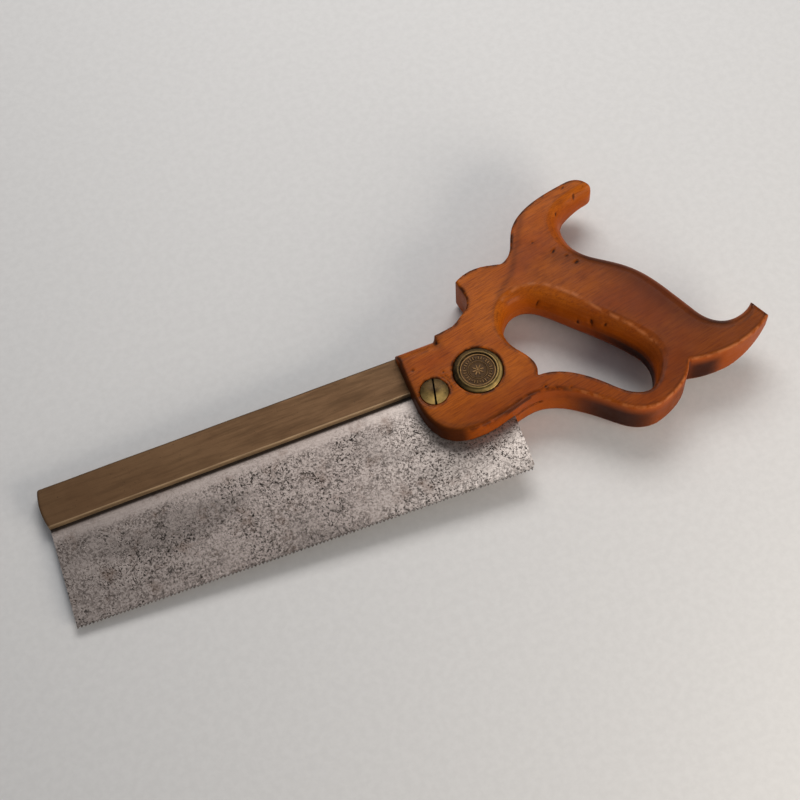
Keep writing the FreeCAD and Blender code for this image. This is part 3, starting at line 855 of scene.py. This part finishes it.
def dome(radius, edge, rise, steps=14):
    """Points of a shallow dome from its middle to its edge."""
    ball = (radius ** 2 + rise ** 2) / (2 * rise)
    radii = [radius * math.sin(math.pi / 2 * i / steps) for i in range(steps + 1)]
    return [(r, edge + rise - ball + math.sqrt(ball ** 2 - r ** 2)) for r in radii]


def make_medallion_bolt(material):
    """The bolt's cupped head with a raised lip, its square neck and its shank."""
    seat, top = HALF_BOARD - HEAD_SEAT, HALF_BOARD + 0.9
    rim = MEDALLION_RADIUS - VISIBLE_GAP
    shank_end = 1.6 - HALF_BOARD
    corners = [(0, CUP_FLOOR), (8.0, CUP_FLOOR), (8.0, top - 0.15), (8.45, top), (LIP_PLACE, top),
               (9.5, top - 0.18), (10.5, HALF_BOARD + 0.42), (rim, HALF_BOARD + 0.12), (rim, seat),
               (SHANK_RADIUS, seat), (SHANK_RADIUS, shank_end), (0, shank_end)]
    profile = softened(corners, (0.03, 0.08, 0.12, 0.18, 0.3, 0.3, 0.1, 0.08, 0.05, 0.3), 4)

    # Painted highlight on the lip and the outer rim, brightest on one side.
    def shine(radius, height, angle):
        lit_side = 0.5 + 0.5 * math.cos(angle + math.radians(66))
        if height < HALF_BOARD - 0.1:
            return 0.0
        lip = math.exp(-((radius - LIP_PLACE) / 0.25) ** 2)
        outer = math.exp(-((radius - 10.1) / 0.6) ** 2)
        return min(1.0, (0.03 + 0.3 * lit_side ** 2) * lip + lit_side ** 4 * outer)

    mesh = turned("medallion_head", MEDALLION, profile, 160, shine)
    half = NECK_SIDE / 2
    neck = box_mesh("neck", (-half, -half, 1.5), (half, half, seat + 0.3), 0.0, MEDALLION)
    mesh = sharpened(combined(mesh, neck, "UNION"), 35)
    placed("medallion_head", mesh, "saw", ["medallion_bolt"], material)


# The made-up pattern of the medallion: rays in a ring, and a rosette in its middle.
RAYS = 30
PETALS = 8


def ridge(value, centre, half_width):
    """The height of a round-topped ridge, from 0 to 1."""
    return float(np.clip(1 - ((value - centre) / half_width) ** 2, 0, 1)) ** 0.5


def disc_relief(radius, angle):
    """The height of the stamped relief, from 0 to 1: a rim, rays between two rings, and a rosette."""
    rim = float(smooth_step(np.array(radius), 7.1, 7.35))
    ring = 0.8 * ridge(radius, 4.35, 0.22)
    inner_ring = 0.6 * ridge(radius, 3.75, 0.14)
    phase = (angle * RAYS / (2 * math.pi)) % 1.0
    long_ray = int(angle * RAYS / (2 * math.pi)) % 3 > 0
    low, high = (4.95, 6.75) if long_ray else (5.5, 6.2)
    begun = smooth_step(np.array(radius), low, low + 0.2)
    inside = float(begun * smooth_step(np.array(-radius), -high, -high + 0.2))
    rays = inside * ridge(phase, 0.5, 0.3 if long_ray else 0.42)
    petals = 0.0
    if radius < 3.4:
        petal = 0.5 + 0.5 * math.cos(PETALS * angle)
        petals = 0.9 * float(smooth_step(np.array(1.0 + 2.0 * petal - radius), 0.0, 0.45))
        petals *= 0.6 + 0.4 * abs(math.cos(PETALS / 2 * angle))
        petals = max(petals, ridge(radius, 0.0, 0.8))
    return max(rim, ring, inner_ring, 0.9 * rays, petals)


def make_medallion_disc(material):
    """The stamped disc, with its relief and a little wear."""
    segments, rings = 360, 84
    field, relief = HALF_BOARD + 0.22, 0.28
    angles = [2 * math.pi * k / segments for k in range(segments)]
    points = [(*MEDALLION, field + relief * disc_relief(0.0, 0.0))]
    shine = [disc_relief(0.0, 0.0)]
    for i in range(1, rings + 1):
        radius = DISC_RADIUS * i / rings
        edge_fall = 0.12 * float(smooth_step(np.array(radius), DISC_RADIUS - 0.15, DISC_RADIUS))
        for angle in angles:
            place = Vector((radius * math.cos(angle) / 2, radius * math.sin(angle) / 2, 4.0))
            height = disc_relief(radius, angle) * (0.75 + 0.25 * noise.noise(place))
            points.append((*on_circle(MEDALLION, radius, angle), field + relief * height - edge_fall))
            shine.append(height)
    for angle in angles:
        points.append((*on_circle(MEDALLION, DISC_RADIUS, angle), CUP_FLOOR))
        shine.append(0.0)
    faces = [(0, 1 + k, 1 + (k + 1) % segments) for k in range(segments)]
    for i in range(rings):
        for k in range(segments):
            a, b = 1 + i * segments + k, 1 + i * segments + (k + 1) % segments
            faces.append((a, b, b + segments, a + segments))
    faces.append(tuple(1 + rings * segments + k for k in range(segments)))
    mesh = sharpened(mesh_from("medallion_face", points, faces, shine), 60)
    placed("medallion_face", mesh, "saw", ["medallion_disc"], material)


def edge_shine(limit):
    """A painted highlight that grows towards the rim of a head, brighter on one side."""
    def shine(radius, height, angle):
        lit_side = 0.5 + 0.5 * math.cos(angle + math.radians(105))
        return float(smooth_step(np.array(radius), limit - 5.5, limit - 1.5)) * lit_side ** 3
    return shine


def make_saw_screw(material):
    """The saw screw: a slotted dome whose shank goes down into its nut."""
    base, tip = HALF_BOARD - 1.95, -6.0
    radius, shank = HEAD_RADIUS - VISIBLE_GAP, SHANK_RADIUS - 0.1
    rim = [(radius - 0.02, HALF_BOARD + 0.05), (radius, HALF_BOARD - 0.1), (radius, base), (shank, base),
           (shank, tip + 0.3), (shank - 0.3, tip), (0, tip)]
    profile = dome(radius - 0.06, HALF_BOARD + 0.16, 1.14) + rim
    mesh = turned("screw_head", SCREW, profile, 128, edge_shine(radius))
    mesh = sharpened(slotted(mesh, SCREW, HALF_BOARD, HALF_BOARD + 3, HALF_BOARD), 35)
    placed("screw_head", mesh, "screw", ["saw_screw"], material)


def flipped(profile):
    """A profile turned over, for a head on the far cheek."""
    return [(r, -z) for r, z in profile]


def make_medallion_nut(material):
    """The round slotted nut on the far cheek, with the end of the bolt in its middle."""
    base = HALF_BOARD - 3.15
    bore = SHANK_RADIUS + 0.05
    outer = dome(HEAD_RADIUS - 0.06, HALF_BOARD - 0.09, 0.36)[1:]
    rim = [(HEAD_RADIUS, HALF_BOARD - 0.2), (HEAD_RADIUS, base), (0, base)]
    profile = [(0, HALF_BOARD + 0.5)] + outer + rim
    mesh = turned("nut_head", MEDALLION, flipped(profile), 128, edge_shine(HEAD_RADIUS))
    mesh = combined(mesh, rod_mesh("bore", MEDALLION, bore, -20, 0), "DIFFERENCE")
    floor = SLOT_DEPTH - HALF_BOARD
    mesh = sharpened(slotted(mesh, MEDALLION, -20, floor, floor), 35)
    placed("nut_head", mesh, "nut", ["medallion_nut"], material)


def make_saw_nut(material):
    """The saw nut: a plain low dome on the far cheek, a square neck and a barrel through the plate."""
    seat = HALF_BOARD - HEAD_SEAT
    edge = HALF_BOARD - 0.5
    barrel_end = -5.5
    rim = [(HEAD_RADIUS, edge - 0.1), (HEAD_RADIUS, seat), (BARREL_RADIUS, seat),
           (BARREL_RADIUS, barrel_end + 0.2), (BARREL_RADIUS - 0.2, barrel_end), (0, barrel_end)]
    profile = flipped(dome(HEAD_RADIUS - 0.06, edge - 0.03, 0.42) + rim)
    mesh = turned("saw_nut_head", SCREW, profile, 128, edge_shine(HEAD_RADIUS))
    half = NECK_SIDE / 2
    neck = box_mesh("neck", (-half, -half, -seat - 0.2), (half, half, -1.5), 0.0, SCREW)
    mesh = combined(mesh, neck, "UNION")
    bore = rod_mesh("bore", SCREW, SHANK_RADIUS - 0.05, -6.1, 9)
    mesh = sharpened(combined(mesh, bore, "DIFFERENCE"), 35)
    placed("saw_nut_head", mesh, "saw", ["saw_nut"], material)


# ---------------------------------------------------------------- stage, light and camera

FLOOR_HALF = 3.0
WORLD_COLOUR = (0.82, 0.86, 0.92, 1)
WORLD_STRENGTH = 0.22


def floor_material():
    """Plain pale paper."""
    s = Shader("pale_floor")
    speck = s.noise(0.3, 3, 0.6)
    colour = s.mix(s.band(speck, 0.3, 0.7), (0.76, 0.755, 0.75, 1), (0.8, 0.795, 0.79, 1))
    s.set(Base_Color=colour, Roughness=0.6)
    return s.material


def make_stage():
    mesh = bpy.data.meshes.new("floor")
    corners = [(-1, -1), (1, -1), (1, 1), (-1, 1)]
    mesh.from_pydata([(x * FLOOR_HALF, y * FLOOR_HALF, 0) for x, y in corners], [], [(0, 1, 2, 3)])
    mesh.materials.append(floor_material())
    floor = bpy.data.objects.new("floor", mesh)
    bpy.context.scene.collection.objects.link(floor)


def area_light(name, place, target, size, energy, colour):
    """A soft rectangular light, in metres and watts, which points at a target."""
    light = bpy.data.lights.new(name, "AREA")
    light.shape, light.size, light.size_y = "RECTANGLE", size[0], size[1]
    light.energy, light.color = energy, colour
    lamp = bpy.data.objects.new(name, light)
    lamp.location = place
    lamp.rotation_euler = (Vector(target) - Vector(place)).to_track_quat("-Z", "Y").to_euler()
    bpy.context.scene.collection.objects.link(lamp)


def make_lights():
    """A large key light from the rear, a warm low one from the front, and a dim sky."""
    area_light("key", (0.22, 0.55, 0.72), (0.02, 0.0, 0.0), (0.7, 0.45), 4.7, (1.0, 0.97, 0.94))
    area_light("fill", (0.38, -0.55, 0.26), (0.05, 0.0, 0.01), (0.45, 0.3), 3.2, (1.0, 0.91, 0.8))
    world = bpy.data.worlds.new("studio")
    world.use_nodes = True
    world.node_tree.nodes["Background"].inputs["Color"].default_value = WORLD_COLOUR
    world.node_tree.nodes["Background"].inputs["Strength"].default_value = WORLD_STRENGTH
    bpy.context.scene.world = world


# The camera, in the saw's frame.
CAMERA_PLACE = (76.02, -251.28, 636.63)
CAMERA_TURN_DEG = (25.908, 2.515, -21.332)
LENS = 72.3
SENSOR = 36.0


def make_camera():
    """The photographer's view: from the front and above, turned a little to the left."""
    data = bpy.data.cameras.new("camera")
    data.lens, data.sensor_width = LENS, SENSOR
    data.clip_start, data.clip_end = 0.01, 20.0
    camera = bpy.data.objects.new("camera", data)
    turn = Euler([math.radians(v) for v in CAMERA_TURN_DEG]).to_matrix().to_4x4()
    camera.matrix_world = SAW_TO_ROW @ Matrix.Translation(Vector(CAMERA_PLACE) * MM) @ turn
    bpy.context.scene.collection.objects.link(camera)
    bpy.context.scene.camera = camera


make_handle(wood_material())
make_blade(steel_material())
make_back(back_material())
head_brass = fastener_material()
make_medallion_bolt(head_brass)
make_medallion_disc(disc_material())
make_medallion_nut(head_brass)
make_saw_screw(head_brass)
make_saw_nut(head_brass)

make_stage()
make_lights()
make_camera()
bpy.context.scene.view_settings.view_transform = "Standard"
